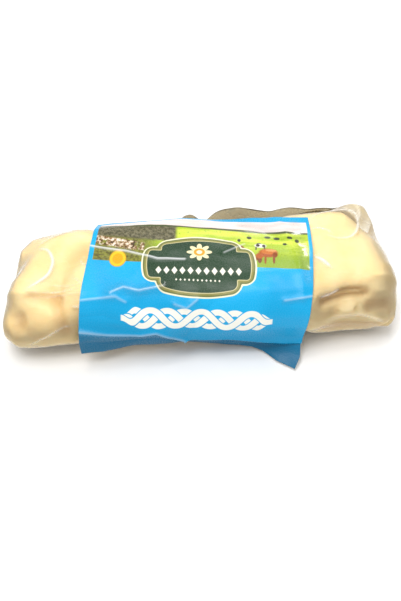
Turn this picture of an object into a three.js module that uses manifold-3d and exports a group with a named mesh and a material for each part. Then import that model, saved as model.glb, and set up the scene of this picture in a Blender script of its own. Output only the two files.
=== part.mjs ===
// Braided string cheese in a clear vacuum pouch, with a printed label sheet laid over it.
// Millimetres, +Z up, +X along the pack, -Y towards the front, standing on z = 0.
import * as THREE from "three";
import { mergeVertices } from "three/addons/utils/BufferGeometryUtils.js";
import Module from "manifold-3d";

const wasm = await Module();
wasm.setup();

// The braid: three fat strands that swing to either side and pass over and under each other.
const axisHeight = 18.8; // of the braid's middle above the table, which presses its underside flat
const strandRadius = 15.2;
const flatness = 0.92; // strands are pressed to this share of their height
const pitch = 92; // length in which a strand returns to its place
const sway = 17.2; // sideways swing of a strand from the middle
const lift = 5.4; // rise and fall of a strand from the middle
const phase = 0.5; // turns of a strand's swing at the middle of the pack
const braidHalf = 66; // the plain braid ends here, and the tucked ends take over
const strandStep = 3; // between the points of a strand's centre line

// Where the strands are tucked in at the two ends, each is one short fat lobe:
// two points of its centre line, measured from the braid's middle, and its radius.
const endLobes = [
  { from: [-80, -10, 3], to: [-69, 16, 5], radius: 14.6 }, // left, over the top
  { from: [-84, -20, -4], to: [-72, -20, -3], radius: 12.8 }, // left, low at the front
  { from: [-76.5, 19, -1], to: [-60, 18, -2], radius: 14 }, // left, low at the back
  { from: [-81.5, -8, -3], to: [-78, 10, -4], radius: 12.4 }, // left, across the end
  { from: [46, 19, 5], to: [69, 20, 6], radius: 14.4 }, // right, round end on the far shoulder
  { from: [77, 8, 3], to: [81, -9, 3], radius: 15.2 }, // right, wrapped round the end
  { from: [56, -18, -3], to: [83, -17, -5], radius: 12.8 }, // right, low at the front
  { from: [60, 15, -5], to: [80, 14, -5], radius: 13.2 }, // right, low at the back
  { from: [84, -9, -4], to: [83, 7, -4], radius: 12.6 }, // right, across the end
  { from: [78, 26, 6], to: [83, 23, 5], radius: 7 }, // right, the film's loose far corner
];

// The clear pouch: film drawn tight over the braid, bridging its grooves.
const filmBridge = 2.6; // how roundly the film crosses from one strand to the next
const coreHalf = 64; // half the length of the line that the film's shape is measured from
const pouchSides = 40;
const pouchRings = 40;
const capRings = 8;

// The pouch's back seam: a thin fin of sealed film, pushed up along the far shoulder.
const finThickness = 0.9;
const finSink = 5; // of the fin's root inside the pouch
const finAngle = 6; // degrees above the horizontal, where the root leaves the pouch
const finWave = 1; // sideways swing of the free edge
const finAt = [-8, -3, 4, 13, 21, 28, 38, 51, 61, 69, 78, 84]; // places along the pack
const finTop = [11, 15.5, 11, 16.5, 19, 17, 13, 15.4, 16, 14.2, 12, 8]; // height there above the axis

// The label: one printed sheet over the top and down the front.
const labelHeight = 92;
const labelEdgeAt = [0, 0.25, 0.5, 0.75, 0.93, 1]; // share of the height, from the far edge
const labelLeft = [-50, -51.6, -53.6, -56.3, -57.8, -57.8];
const labelRight = [55.5, 54.5, 51.8, 48.8, 46.4, 43.5];
const labelThickness = 0.45;
const labelGap = 0.5; // clear of the pouch
const labelBridge = 3.5; // the sheet crosses grooves a little more roundly than the film
const labelSpan = 18; // the stiff sheet rests on what stands highest within this distance along the pack
const labelTurn = 8.6; // degrees that its edges lean from the pack's length
const labelTop = -29.5; // girth position of the middle of its far edge, 0 on top of the pack
const girthHalfWidth = 36; // the mean section that girth is measured round
const girthHalfHeight = 20.5;
const tuckAt = [-0.5, -0.4, -0.25, 0, 0.17, 0.3, 0.42, 0.5]; // share of the width from the middle
const tuckShare = [0, 0.1, 0.75, 0.95, 0.8, 0.45, 0.1, 0]; // how closely the near edge hugs the pouch
const looseAt = [-0.5, -0.3, -0.1, 0.1, 0.3, 0.5];
const looseRise = [0.6, 2.6, 4, 2.4, 0.2, 0]; // how far the far edge stands off the pouch
const foldAt = [-0.5, 0.24, 0.34, 0.5];
const foldHeight = [1.2, 1.2, 3.5, 8]; // where the hanging edge bends out towards the front
const labelColumns = 28;
const labelRows = 32;

const radians = THREE.MathUtils.degToRad;

// The value at a place in a table of places and values, straight between them.
function tabled(place, places, values) {
  let i = 1;
  while (i < places.length - 1 && places[i] < place) i += 1;
  const share = (place - places[i - 1]) / (places[i] - places[i - 1]);
  return THREE.MathUtils.lerp(values[i - 1], values[i], THREE.MathUtils.clamp(share, 0, 1));
}

// Height is stretched before a distance is measured, which makes every round strand flat.
const unpressed = (x, y, z) => new THREE.Vector3(x, y, z / flatness);

function strandLine(index) {
  const points = [];
  for (let x = -braidHalf; x <= braidHalf; x += strandStep) {
    const turn = 2 * Math.PI * (x / pitch + phase + index / 3);
    points.push(unpressed(x, sway * Math.sin(turn), lift * Math.sin(2 * turn)));
  }
  return { points, radius: strandRadius };
}

function lobeLine({ from, to, radius }) {
  return { points: [unpressed(...from), unpressed(...to)], radius };
}

const lines = [0, 1, 2].map(strandLine).concat(endLobes.map(lobeLine));

const segment = new THREE.Line3();
const nearest = new THREE.Vector3();

function distanceToLine(point, { points, radius }) {
  let least = Infinity;
  for (let i = 1; i < points.length; i += 1) {
    if (points.length > 2 && Math.abs(points[i].x - point.x) > 2 * radius) continue;
    segment.set(points[i - 1], points[i]);
    segment.closestPointToPoint(point, true, nearest);
    least = Math.min(least, nearest.distanceTo(point));
  }
  return least - radius;
}

// Distance from the braid with its grooves rounded over by bridge: 0 on the skin.
function distanceToBraid(point, bridge) {
  let sum = 0;
  for (const line of lines) sum += Math.exp(-distanceToLine(point, line) / bridge);
  return -bridge * Math.log(sum);
}

// The skin's point on a ray that leaves the braid's middle line, found from outside.
function skinPoint(start, direction, bridge) {
  const point = new THREE.Vector3();
  let reach = 60;
  for (let step = 0; step < 60; step += 1) {
    point.copy(start).addScaledVector(direction, reach);
    const gap = distanceToBraid(unpressed(point.x, point.y, point.z), bridge);
    if (Math.abs(gap) < 0.01) break;
    reach -= 0.75 * gap;
  }
  return Math.max(reach, 1);
}

function pouchGeometry() {
  const geometry = new THREE.CapsuleGeometry(1, 2 * coreHalf, capRings, pouchSides, pouchRings);
  geometry.rotateZ(-Math.PI / 2);
  geometry.deleteAttribute("normal");
  geometry.deleteAttribute("uv");
  const merged = mergeVertices(geometry, 1e-4);
  const place = merged.attributes.position;
  const start = new THREE.Vector3();
  const direction = new THREE.Vector3();
  for (let i = 0; i < place.count; i += 1) {
    direction.fromBufferAttribute(place, i);
    start.set(THREE.MathUtils.clamp(direction.x, -coreHalf, coreHalf), 0, 0);
    direction.sub(start).normalize();
    let reach = skinPoint(start, direction, filmBridge);
    if (direction.z < 0) reach = Math.min(reach, axisHeight / -direction.z);
    start.addScaledVector(direction, reach);
    place.setXYZ(i, start.x, start.y, start.z + axisHeight);
  }
  return merged;
}

// A box of unit size whose every vertex is moved by place(x, y, z).
function movedBox(columns, rows, place) {
  const geometry = new THREE.BoxGeometry(1, 1, 1, columns, rows, 1);
  geometry.deleteAttribute("normal");
  geometry.deleteAttribute("uv");
  const merged = mergeVertices(geometry, 1e-4);
  const position = merged.attributes.position;
  for (let i = 0; i < position.count; i += 1) {
    const moved = place(position.getX(i), position.getY(i), position.getZ(i));
    position.setXYZ(i, moved.x, moved.y, moved.z);
  }
  return merged;
}

function finGeometry() {
  const outward = new THREE.Vector3(0, Math.cos(radians(finAngle)), Math.sin(radians(finAngle)));
  return movedBox(34, 4, (along, up, side) => {
    const share = along + 0.5;
    const x = THREE.MathUtils.lerp(finAt[0], finAt.at(-1), share);
    const start = new THREE.Vector3(THREE.MathUtils.clamp(x, -coreHalf, coreHalf), 0, 0);
    const reach = skinPoint(start, outward, filmBridge);
    const root = start.clone().addScaledVector(outward, reach - finSink).setX(x);
    const bend = start.clone().addScaledVector(outward, reach + 0.6).setX(x);
    const edge = bend.clone();
    edge.y += 1.5 + finWave * Math.sin(x * 0.19 + 0.6 * Math.sin(x * 0.11));
    edge.z = Math.max(tabled(x, finAt, finTop), bend.z + 2);
    const high = (up + 0.5) * 4;
    const point = high < 1 ? root.lerp(bend, high) : bend.lerp(edge, (high - 1) / 3);
    const tilt = high < 1 ? 1 : 0;
    point.y += side * finThickness * (1 - tilt);
    point.z += axisHeight - side * finThickness * tilt;
    return point;
  });
}

// The angle round the pack, from the far side over the top, at a girth position.
function girthAngle(girth) {
  let turn = Math.PI / 2;
  const steps = 60;
  for (let i = 0; i < steps; i += 1) {
    const speed = Math.hypot(girthHalfWidth * Math.sin(turn), girthHalfHeight * Math.cos(turn));
    turn += girth / steps / speed;
  }
  return Math.atan2(girthHalfHeight * Math.sin(turn), girthHalfWidth * Math.cos(turn));
}

// A quarter of the mean section's girth, from the top of the pack to the belly, its steepest place.
const slimness = (girthHalfWidth - girthHalfHeight) / (girthHalfWidth + girthHalfHeight);
const bellyGirth = (Math.PI / 4) * (girthHalfWidth + girthHalfHeight) * (1 + slimness ** 2 / 4);

// Moves a point of the hanging sheet forwards until it clears the pouch.
function clearOfPouch(point) {
  const wanted = labelGap + labelThickness / 2;
  for (let step = 0; step < 12; step += 1) {
    const gap = distanceToBraid(unpressed(point.x, point.y, point.z - axisHeight), labelBridge);
    if (gap >= wanted) break;
    point.y -= wanted - gap + 0.02;
  }
  return point;
}

// How far out the stiff sheet lies: a high power mean of the skin within labelSpan, never inside it.
function spannedReach(x, direction) {
  const start = new THREE.Vector3();
  const reachAt = (place) => {
    start.set(THREE.MathUtils.clamp(place, -coreHalf, coreHalf), 0, 0);
    return skinPoint(start, direction, labelBridge);
  };
  const power = 14;
  let sum = 0;
  for (let i = -3; i <= 3; i += 1) sum += reachAt(x + (i * labelSpan) / 3) ** power;
  return Math.max((sum / 7) ** (1 / power), reachAt(x));
}

// A point of the sheet that lies on the pouch, at a place along it and a girth position.
function lyingPoint(x, girth) {
  const angle = girthAngle(girth);
  const direction = new THREE.Vector3(0, Math.cos(angle), Math.sin(angle));
  const start = new THREE.Vector3(THREE.MathUtils.clamp(x, -coreHalf, coreHalf), 0, 0);
  const reach = spannedReach(x, direction) + labelGap + labelThickness / 2;
  const point = start.setX(x).addScaledVector(direction, reach);
  point.z += axisHeight;
  return point;
}

// The label's mid-surface: across from -0.5 to 0.5 of its width, down from 0 to 1 of its height.
function labelPoint(across, down) {
  const left = tabled(down, labelEdgeAt, labelLeft);
  const right = tabled(down, labelEdgeAt, labelRight);
  const x = THREE.MathUtils.lerp(left, right, across + 0.5);
  const girth = labelTop + down * labelHeight + x * Math.sin(radians(labelTurn));
  const point = lyingPoint(x, Math.min(girth, bellyGirth));
  const loose = tabled(across, looseAt, looseRise) * (1 - THREE.MathUtils.smoothstep(down, 0, 0.3));
  point.z += 0.8 * loose;
  point.y += 0.3 * loose;
  const hanging = girth - bellyGirth;
  if (hanging <= 0) return point;
  const drop = Math.min(hanging, point.z - tabled(across, foldAt, foldHeight));
  const folded = hanging - drop;
  point.z -= drop + 0.45 * folded;
  point.y -= 0.89 * folded;
  point.lerp(lyingPoint(x, girth), tabled(across, tuckAt, tuckShare));
  point.z = Math.max(point.z, 0.8);
  return clearOfPouch(point);
}

function labelGeometry() {
  const step = 0.004;
  return movedBox(labelColumns, labelRows, (across, up, side) => {
    const down = 0.5 - up;
    const point = labelPoint(across, down);
    const alongEdge = labelPoint(across + step, down).sub(labelPoint(across - step, down));
    const downEdge = labelPoint(across, down + step).sub(labelPoint(across, down - step));
    const outward = downEdge.cross(alongEdge).normalize();
    return point.addScaledVector(outward, side * labelThickness);
  });
}

function toSolid(geometry) {
  const mesh = { numProp: 3, vertProperties: geometry.attributes.position.array };
  const triVerts = new Uint32Array(geometry.index.array);
  return new wasm.Manifold(new wasm.Mesh({ ...mesh, triVerts }));
}

function toGeometry(solid) {
  const { vertProperties, triVerts } = solid.getMesh();
  const geometry = new THREE.BufferGeometry();
  geometry.setAttribute("position", new THREE.BufferAttribute(vertProperties, 3));
  geometry.setIndex(new THREE.BufferAttribute(triVerts, 1));
  return geometry;
}

const pouch = new THREE.Mesh(
  toGeometry(toSolid(pouchGeometry()).add(toSolid(finGeometry()))),
  new THREE.MeshStandardMaterial({ color: "#fbe6b0", roughness: 0.25, metalness: 0 }),
);
pouch.name = "pouch";

const label = new THREE.Mesh(
  labelGeometry(),
  new THREE.MeshStandardMaterial({ color: "#2fa9e6", roughness: 0.3, metalness: 0 }),
);
label.name = "label";

// The whole stands on z = 0 with its outer box centred on the origin.
const contents = new THREE.Group();
contents.add(pouch, label);
const box = new THREE.Box3().setFromObject(contents, true);
const middle = box.getCenter(new THREE.Vector3());
contents.position.set(-middle.x, -middle.y, -box.min.z);

const pack = new THREE.Group();
pack.add(contents);

export default pack;
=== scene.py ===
import math

import bmesh
import bpy
import numpy as np
from mathutils import Matrix, Vector, noise
from mathutils.bvhtree import BVHTree


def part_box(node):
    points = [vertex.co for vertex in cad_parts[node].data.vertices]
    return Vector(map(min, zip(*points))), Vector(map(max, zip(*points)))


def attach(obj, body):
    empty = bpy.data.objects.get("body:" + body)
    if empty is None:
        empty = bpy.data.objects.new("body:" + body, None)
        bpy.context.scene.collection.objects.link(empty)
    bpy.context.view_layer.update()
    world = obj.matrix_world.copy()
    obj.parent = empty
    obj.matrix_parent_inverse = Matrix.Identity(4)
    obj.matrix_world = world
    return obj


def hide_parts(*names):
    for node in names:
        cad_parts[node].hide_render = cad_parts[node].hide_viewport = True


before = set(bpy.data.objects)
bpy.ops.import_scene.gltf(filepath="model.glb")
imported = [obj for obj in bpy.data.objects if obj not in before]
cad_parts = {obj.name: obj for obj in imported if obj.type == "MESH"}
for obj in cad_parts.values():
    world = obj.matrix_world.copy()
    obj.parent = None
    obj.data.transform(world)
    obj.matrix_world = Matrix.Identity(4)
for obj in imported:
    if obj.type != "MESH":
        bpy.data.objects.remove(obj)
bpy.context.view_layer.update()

mm = 0.001

# The braid's middle line: the pouch's solid sets where it lies.
pouchLow, pouchHigh = [np.array(corner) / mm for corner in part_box("pouch")]
braidPlace = {
    "leftReach": 96.96,  # from the middle line's own zero to the pouch's left end
    "nearReach": 33.72,  # from the middle line to the pouch's near side
    "height": 18.8,  # above the table
}
middle = np.array([
    pouchLow[0] + braidPlace["leftReach"],
    pouchLow[1] + braidPlace["nearReach"],
    pouchLow[2] + braidPlace["height"],
])


def linearColour(hexCode):
    channels = [int(hexCode[i:i + 2], 16) / 255 for i in (1, 3, 5)]
    return [c / 12.92 if c <= 0.04045 else ((c + 0.055) / 1.055) ** 2.4 for c in channels] + [1.0]


def addNode(tree, kind, inputs=None, **settings):
    node = tree.nodes.new(kind)
    for name, value in settings.items():
        setattr(node, name, value)
    for name, value in (inputs or {}).items():
        if isinstance(value, bpy.types.NodeSocket):
            tree.links.new(value, node.inputs[name])
        else:
            node.inputs[name].default_value = linearColour(value) if isinstance(value, str) else value
    return node


def newMaterial(name):
    material = bpy.data.materials.new(name)
    material.use_nodes = True
    material.node_tree.nodes.clear()
    return material, material.node_tree


def smoothStep(x, low, high):
    t = np.clip((x - low) / (high - low), 0, 1)
    return t * t * (3 - 2 * t)


def faceOutwards(bm):
    # Away from the braid's middle line, whichever way the shaping turned the faces.
    bmesh.ops.recalc_face_normals(bm, faces=bm.faces)
    line = Vector(middle * mm)
    outward = 0
    for face in bm.faces:
        centre = face.calc_center_median()
        outward += face.normal.dot(centre - Vector((centre.x, line.y, line.z))) * face.calc_area()
    if outward < 0:
        bmesh.ops.reverse_faces(bm, faces=bm.faces)


def objectFrom(bm, name, *materials):
    mesh = bpy.data.meshes.new(name)
    bm.to_mesh(mesh)
    bm.free()
    for polygon in mesh.polygons:
        polygon.use_smooth = True
    piece = bpy.data.objects.new(name, mesh)
    bpy.context.collection.objects.link(piece)
    for material in materials:
        mesh.materials.append(material)
    return piece


def vertexArray(bm):
    return np.array([v.co for v in bm.verts])


def meshArray(items, name):
    values = np.zeros(len(items) * 3)
    items.foreach_get(name, values)
    return values.reshape(-1, 3)


def moveVertices(bm, places):
    for vertex, place in zip(bm.verts, places):
        vertex.co = place


braid = {
    "strandRadius": 14.7,
    "flatness": 0.92,
    "pitch": 92,
    "sway": 17.2,
    "lift": 5.4,
    "phase": 0.5,
    "halfLength": 66,
    "step": 3,
    "skin": 0.5,  # how far the cheese stays inside the pouch's solid
    "voxel": 0.85,
    "floorGap": 0.35,
    "press": 0.88,  # share of each groove that the pressed strands fill
}
# The tucked ends, each a short fat lobe: two points of its middle line and its radius.
endLobes = [
    ((-80, -10, 3), (-69, 13.5, 4.5), 14.4),
    ((-84, -20, -4), (-72, -20, -3), 12.8),
    ((-79, 16, 0.5), (-60, 18, -2), 14.0),
    ((-83, -13, -3), (-79.5, 10, -3), 13.2),
    ((46, 19, 5), (69, 20, 6), 14.4),
    ((62, 4, 4), (80, 0, 3), 14.6),
    ((77, 8, 3), (81, -9, 3), 15.2),
    ((56, -18, -3), (83, -17, -5), 12.8),
    ((60, 15, -5), (80, 14, -5), 13.2),
    ((84, -9, -4), (83, 7, -4), 12.6),
]


def strandPath(index):
    xs = np.arange(-braid["halfLength"], braid["halfLength"] + 0.1, braid["step"])
    turn = 2 * math.pi * (xs / braid["pitch"] + braid["phase"] + index / 3)
    ys = braid["sway"] * np.sin(turn)
    zs = braid["lift"] * np.sin(2 * turn) / braid["flatness"]
    return np.stack([xs, ys, zs], 1)


def fatTube(path, radius):
    # A ball drawn out along the path: round ends, an even tube between them.
    bm = bmesh.new()
    bmesh.ops.create_uvsphere(bm, u_segments=40, v_segments=2 * len(path) + 24, radius=1)
    lengths = np.concatenate([[0], np.cumsum(np.linalg.norm(np.diff(path, axis=0), axis=1))])
    share = 0.2  # of the ball's poles that stays a round end
    places = []
    for vertex in bm.verts:
        latitude = math.asin(max(-1, min(1, vertex.co.z))) / (math.pi / 2)
        inner = max(-1, min(1, latitude / (1 - share)))
        outer = max(0, abs(latitude) - (1 - share)) / share * math.pi / 2
        along = (inner + 1) / 2 * lengths[-1]
        centre = Vector([np.interp(along, lengths, path[:, k]) for k in range(3)])
        ahead = [np.interp(min(along + 1, lengths[-1]), lengths, path[:, k]) for k in range(3)]
        behind = [np.interp(max(along - 1, 0), lengths, path[:, k]) for k in range(3)]
        forward = (Vector(ahead) - Vector(behind)).normalized()
        side = forward.cross(Vector((0, 0, 1))).normalized()
        up = side.cross(forward)
        flat = math.hypot(vertex.co.x, vertex.co.y) or 1
        ring = (side * vertex.co.x + up * vertex.co.y) / flat * math.cos(outer)
        tip = forward * math.sin(outer) * (1 if latitude > 0 else -1)
        places.append(centre + (ring + tip) * radius)
    moveVertices(bm, places)
    return bm


def buildCheese(material):
    whole = bmesh.new()
    tubes = [(strandPath(i), braid["strandRadius"]) for i in range(3)]
    for start, end, radius in endLobes:
        line = np.array([start, end], float)
        line[:, 2] /= braid["flatness"]
        tubes.append((line, radius - braid["skin"]))
    for path, radius in tubes:
        tube = fatTube(path, radius)
        mesh = bpy.data.meshes.new("tube")
        tube.to_mesh(mesh)
        tube.free()
        whole.from_mesh(mesh)
        bpy.data.meshes.remove(mesh)
    places = vertexArray(whole)
    places[:, 2] *= braid["flatness"]
    moveVertices(whole, (places + middle) * mm)
    piece = objectFrom(whole, "cheeseBraid", material)
    remesh = piece.modifiers.new("Fuse", "REMESH")
    remesh.mode = "VOXEL"
    remesh.voxel_size = braid["voxel"] * mm
    remesh.use_smooth_shade = True
    soften = piece.modifiers.new("Soften", "SMOOTH")
    soften.factor = 0.5
    soften.iterations = 5
    fused = bpy.data.meshes.new_from_object(
        piece.evaluated_get(bpy.context.evaluated_depsgraph_get()))
    piece.modifiers.clear()
    old = piece.data
    piece.data = fused
    bpy.data.meshes.remove(old)
    fused.name = "cheeseBraid"
    places, normals = meshArray(fused.vertices, "co") / mm, meshArray(fused.vertices, "normal")
    swell = [noise.noise(Vector(p) * 0.05) * 0.55 + noise.noise(Vector(p) * 0.16) * 0.22 for p in places]
    places += normals * np.array(swell)[:, None]
    places[:, 2] = np.maximum(places[:, 2], braid["floorGap"])
    fused.vertices.foreach_set("co", (places * mm).ravel())
    fused.update()
    return piece


def aroundMiddle(places):
    # Each place as a distance from the middle line and its row and column on the film's map.
    offset = places - middle
    start = np.clip(offset[:, 0], -film["coreHalf"], film["coreHalf"])
    offset[:, 0] -= start
    out = np.linalg.norm(offset, axis=1)
    cap = film["capShare"]
    lean = np.arcsin(np.clip(offset[:, 0] / np.maximum(out, 1e-6), -1, 1)) / (math.pi / 2)
    body = cap + (start / film["coreHalf"] + 1) / 2 * (1 - 2 * cap)
    share = body + lean * cap
    turn = np.arctan2(offset[:, 2], offset[:, 1])
    return out, share * film["rings"], turn / (2 * math.pi) * film["sides"]


def sampleMap(values, i, j):
    rings, sides = film["rings"], film["sides"]
    i = np.clip(i, 0, rings)
    i0, j0 = np.floor(i).astype(int), np.floor(j).astype(int)
    u, v = i - i0, j - j0
    i1 = np.minimum(i0 + 1, rings)
    a = values[i0, j0 % sides] * (1 - v) + values[i0, (j0 + 1) % sides] * v
    b = values[i1, j0 % sides] * (1 - v) + values[i1, (j0 + 1) % sides] * v
    return a * (1 - u) + b * u


def pressCheese(piece, taut, rise):
    # The packing presses the soft strands together, so the grooves between them close up.
    mesh = piece.data
    places = meshArray(mesh.vertices, "co") / mm
    out, i, j = aroundMiddle(places)
    gap = np.maximum(sampleMap(taut, i, j) - film["lift"] - out, 0)
    dent = 0.75 * np.minimum(sampleMap(rise, i, j), 0)
    grown = 1 + (braid["press"] * gap + dent) / np.maximum(out, 1)
    start = np.clip(places[:, 0] - middle[0], -film["coreHalf"], film["coreHalf"]) + middle[0]
    centre = np.stack([start, np.full_like(start, middle[1]), np.full_like(start, middle[2])], 1)
    places = centre + (places - centre) * grown[:, None]
    places[:, 2] = np.maximum(places[:, 2], braid["floorGap"])
    mesh.vertices.foreach_set("co", (places * mm).ravel())
    # Painted shade: each dent's depth, by which the cheese is painted darker gold there.
    dentShade = mesh.attributes.new("dent", "FLOAT", "POINT")
    dentShade.data.foreach_set("value", np.clip(-dent / 3.2, 0, 1))
    mesh.update()


# The film, measured as a distance from the braid's middle line.
film = {
    "coreHalf": 64,
    "rings": 320,
    "sides": 270,
    "capShare": 0.233,
    "lift": 0.25,
    "rayFrom": 70,  # how far out the rays start that measure the cheese
    "leastReach": 5,
    "tautness": 46,
    "shrinkStep": 0.002,
    "endTautness": 170,  # further shrinking beyond the label, where the bag is drawn tight
    "rightEnd": (38, 58),  # where that further shrinking sets in and is full
    "leftEnd": (45, 60),
    "leftShare": 0.45,  # how much of it the left end gets
    "softening": 4,
}


def filmRay(ringShare):
    # Start on the middle line, and how far the ray leans to the ends: -90 to 90 degrees.
    cap = film["capShare"]
    body = np.clip((ringShare - cap) / (1 - 2 * cap), 0, 1) * 2 - 1
    lean = np.where(ringShare < cap, ringShare / cap - 1, np.maximum(ringShare - (1 - cap), 0) / cap)
    return body * film["coreHalf"], lean * math.pi / 2


def rayDirection(lean, turn):
    return np.stack([
        np.sin(lean) * np.ones_like(turn),
        np.cos(lean) * np.cos(turn),
        np.cos(lean) * np.sin(turn),
    ], -1)


def measureSkin(cheese):
    tree = BVHTree.FromObject(cheese, bpy.context.evaluated_depsgraph_get())
    rings, sides = film["rings"], film["sides"]
    reach = np.zeros((rings + 1, sides))
    for i in range(rings + 1):
        startX, lean = filmRay(np.array(i / rings))
        for j in range(sides):
            direction = rayDirection(lean, np.array(2 * math.pi * j / sides))
            far = (middle + np.array([startX, 0, 0]) + direction * film["rayFrom"]) * mm
            hit = tree.ray_cast(Vector(far), Vector(-direction), film["rayFrom"] * mm)
            reach[i, j] = film["rayFrom"] - hit[3] / mm if hit[0] else film["leastReach"]
    return reach


def neighbourSum(reach):
    padded = np.concatenate([reach[:1], reach, reach[-1:]])
    return padded[:-2] + padded[2:] + (np.roll(reach, 1, 1) + np.roll(reach, -1, 1))


def tautSkin(cheeseReach, held=None):
    # The film shrinks until the braid, or a corner drawn out past it, stops it.
    held = cheeseReach if held is None else held
    reach = held.copy()
    for step in range(film["tautness"]):
        reach = np.maximum(held, neighbourSum(reach) / 4 - film["shrinkStep"])
    startX = filmRay(np.arange(film["rings"] + 1) / film["rings"])[0]
    ends = smoothStep(startX, *film["rightEnd"]) + film["leftShare"] * smoothStep(-startX, *film["leftEnd"])
    for step in range(film["endTautness"]):
        reach += ends[:, None] * (np.maximum(held, neighbourSum(reach) / 4) - reach)
    for step in range(film["softening"]):
        reach = (neighbourSum(reach) + 2 * reach) / 6
    reach[0] = reach[0].mean()
    reach[-1] = reach[-1].mean()
    return np.maximum(reach, cheeseReach) + film["lift"]


# Folds and dents, as points in mm from the braid's middle, then rise and half width in mm,
# and whitening and its half width. The whitening is partly the doubled film and partly painted highlight.
filmFolds = [
    ([(-78, 11, 16), (-72, 7, 17), (-69.5, 1, 16.5), (-71, -6, 15), (-75, -10, 15), (-82, -14, 15)],
     1.0, 1.8, 0.8, 0.7),
    ([(-55, 9, 16), (-62, -2.5, 15.5), (-67, -16, 12)], -2.2, 3.4, 0.0, 1.0),
    ([(-80, -17.5, 13), (-74, -18.5, 12.5), (-67.5, -20, 11)], -2.6, 2.6, 0.0, 1.0),
    ([(-67.5, -20, 11), (-66, -27.5, 7.5), (-64.5, -30.5, 3)], -3.0, 2.8, 0.0, 1.0),
    ([(-87, -26, 6), (-85.5, -27, 4)], -3.6, 3.6, 0.0, 1.0),
    ([(-81, -15.5, 14.5), (-68, -17, 14), (-54, -15.5, 17)], 0.4, 0.8, 0.3, 0.35),
    ([(-79, -18, 13), (-68, -18.5, 13), (-54, -18, 16.5)], 0.35, 0.7, 0.2, 0.35),
    ([(-74, -12, 15), (-62, -13.5, 15), (-53, -13, 17)], 0.35, 0.7, 0.22, 0.35),
    ([(-60, -9, 16), (-56, -12, 16), (-53, -16, 16)], 0.4, 0.9, 0.3, 0.5),
    ([(-61, -22, 11), (-56, -23.5, 12), (-53, -24, 12)], 0.5, 0.9, 0.3, 0.5),
    ([(-57.5, 4, 17), (-56.5, 0, 17), (-52.5, -4, 17.5)], 0.5, 0.9, 0.5, 0.4),
    ([(-83, -33, -5), (-76, -31.5, -1), (-68, -30.5, 3), (-60, -30, 5)], 0.6, 0.8, 0.45, 0.35),
    ([(-80, 12, 14), (-70, 18, 16), (-56, 20, 17)], 0.5, 1.0, 0.25, 0.5),
    ([(-84, 20, 9), (-70, 25, 12), (-52, 27, 13)], 0.5, 0.9, 0.3, 0.4),
    ([(-79, 24, 8), (-66, 29, 9), (-52, 30.5, 9)], 0.5, 0.9, 0.3, 0.4),
    ([(55, 19, 18.5), (60, 24, 17.5), (66, 28, 16.5), (74.5, 27.5, 15.5), (79, 24, 14), (79.5, 17, 15.5),
      (77, 10.5, 16.5), (73, 6, 16.5), (67, 5, 15.5), (63, 7.5, 16)], 0.7, 0.9, 0.75, 0.5),
    ([(55.5, 13.5, 19), (59.5, 13.2, 19), (63, 11.5, 18.5), (66, 7.5, 16)], 0.45, 0.8, 0.4, 0.4),
    ([(79, 35, 13), (80.5, 30, 12.5), (80.2, 24, 12.5), (79, 17.5, 15)], 0.6, 0.9, 0.6, 0.5),
    ([(84.5, 34, 12), (87, 28, 9), (90, 19, 7), (93, 11, 5), (95, 2, 3)], 0.5, 0.8, 0.5, 0.5),
    ([(55, -3, 15), (58, -4.5, 15.5), (62.5, -10.5, 16)], 0.9, 1.3, 0.85, 0.8),
    ([(65, -19, 11.5), (61.5, -22.5, 12), (58, -24.5, 12), (55, -24, 12)], 0.8, 1.0, 0.5, 0.5),
    ([(57, -26.5, 10.5), (62, -23, 10), (68, -20.5, 9.5), (76.5, -20.5, 9.5)], -6.0, 2.3, 0.0, 1.0),
    ([(64, -25.5, 6.5), (73, -24.5, 6.5)], 1.8, 2.6, 0.0, 1.0),
    ([(80, -24.5, 4.5), (88, -24, 4)], -3.4, 3.0, 0.0, 1.0),
    ([(58, -30.5, 2.5), (64, -28.5, 3.5), (70, -27.5, 3.5), (76, -28, 2.5), (84, -29.5, -1), (90, -29.5, -5)],
     1.6, 2.0, 0.25, 0.6),
    ([(86, -30, -9), (78, -32, -7), (67, -33, -6.5), (59, -33, -7)], -4.2, 4.0, 0.0, 1.0),
]
# Loose corners of the bag, drawn out past the cheese.
filmCorners = [
    [(70, 34, 11), (79, 37, 13.5), (87, 36, 13), (90, 26, 8.5), (90, 17, 6), (94, 8.3, 4), (96.5, -4, 2),
     (95.5, -16, -3), (93.5, -25, -6), (90, -29, -8)],
    [(-76, 26, 2), (-84, 22, 1), (-90.5, 10, 0), (-93.5, -6, -1), (-95.5, -19, -4)],
]
cloudyCorner = ((85, 33, 11), 9.5, 0.5)  # middle, half width and strength of the crumpled far corner


def alongPolyline(points, step=0.6, rounding=9):
    # Even steps along the points, with the corners between them rounded off.
    points = np.array(points, float)
    lengths = np.concatenate([[0], np.cumsum(np.linalg.norm(np.diff(points, axis=0), axis=1))])
    along = np.linspace(0, lengths[-1], max(4, int(lengths[-1] / step)))
    line = np.stack([np.interp(along, lengths, points[:, k]) for k in range(points.shape[1])], 1)
    padded = np.pad(line, ((rounding // 2, rounding // 2), (0, 0)), "reflect", reflect_type="odd")
    return np.stack([np.convolve(padded[:, k], np.ones(rounding) / rounding, "valid")
                     for k in range(points.shape[1])], 1)


def nearestOn(line, places, within):
    # Distance to the line, and where along it, 0 to 1, only worked out close by.
    low, high = line.min(0) - within, line.max(0) + within
    close = np.where(((places > low) & (places < high)).all(1))[0]
    away, share = np.full(len(places), 1e3), np.zeros(len(places))
    best, which = np.full(len(close), 1e9), np.zeros(len(close))
    for k, point in enumerate(line):
        square = ((places[close] - point) ** 2).sum(1)
        which = np.where(square < best, k, which)
        best = np.minimum(best, square)
    away[close], share[close] = np.sqrt(best), which / max(len(line) - 1, 1)
    return away, share


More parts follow.
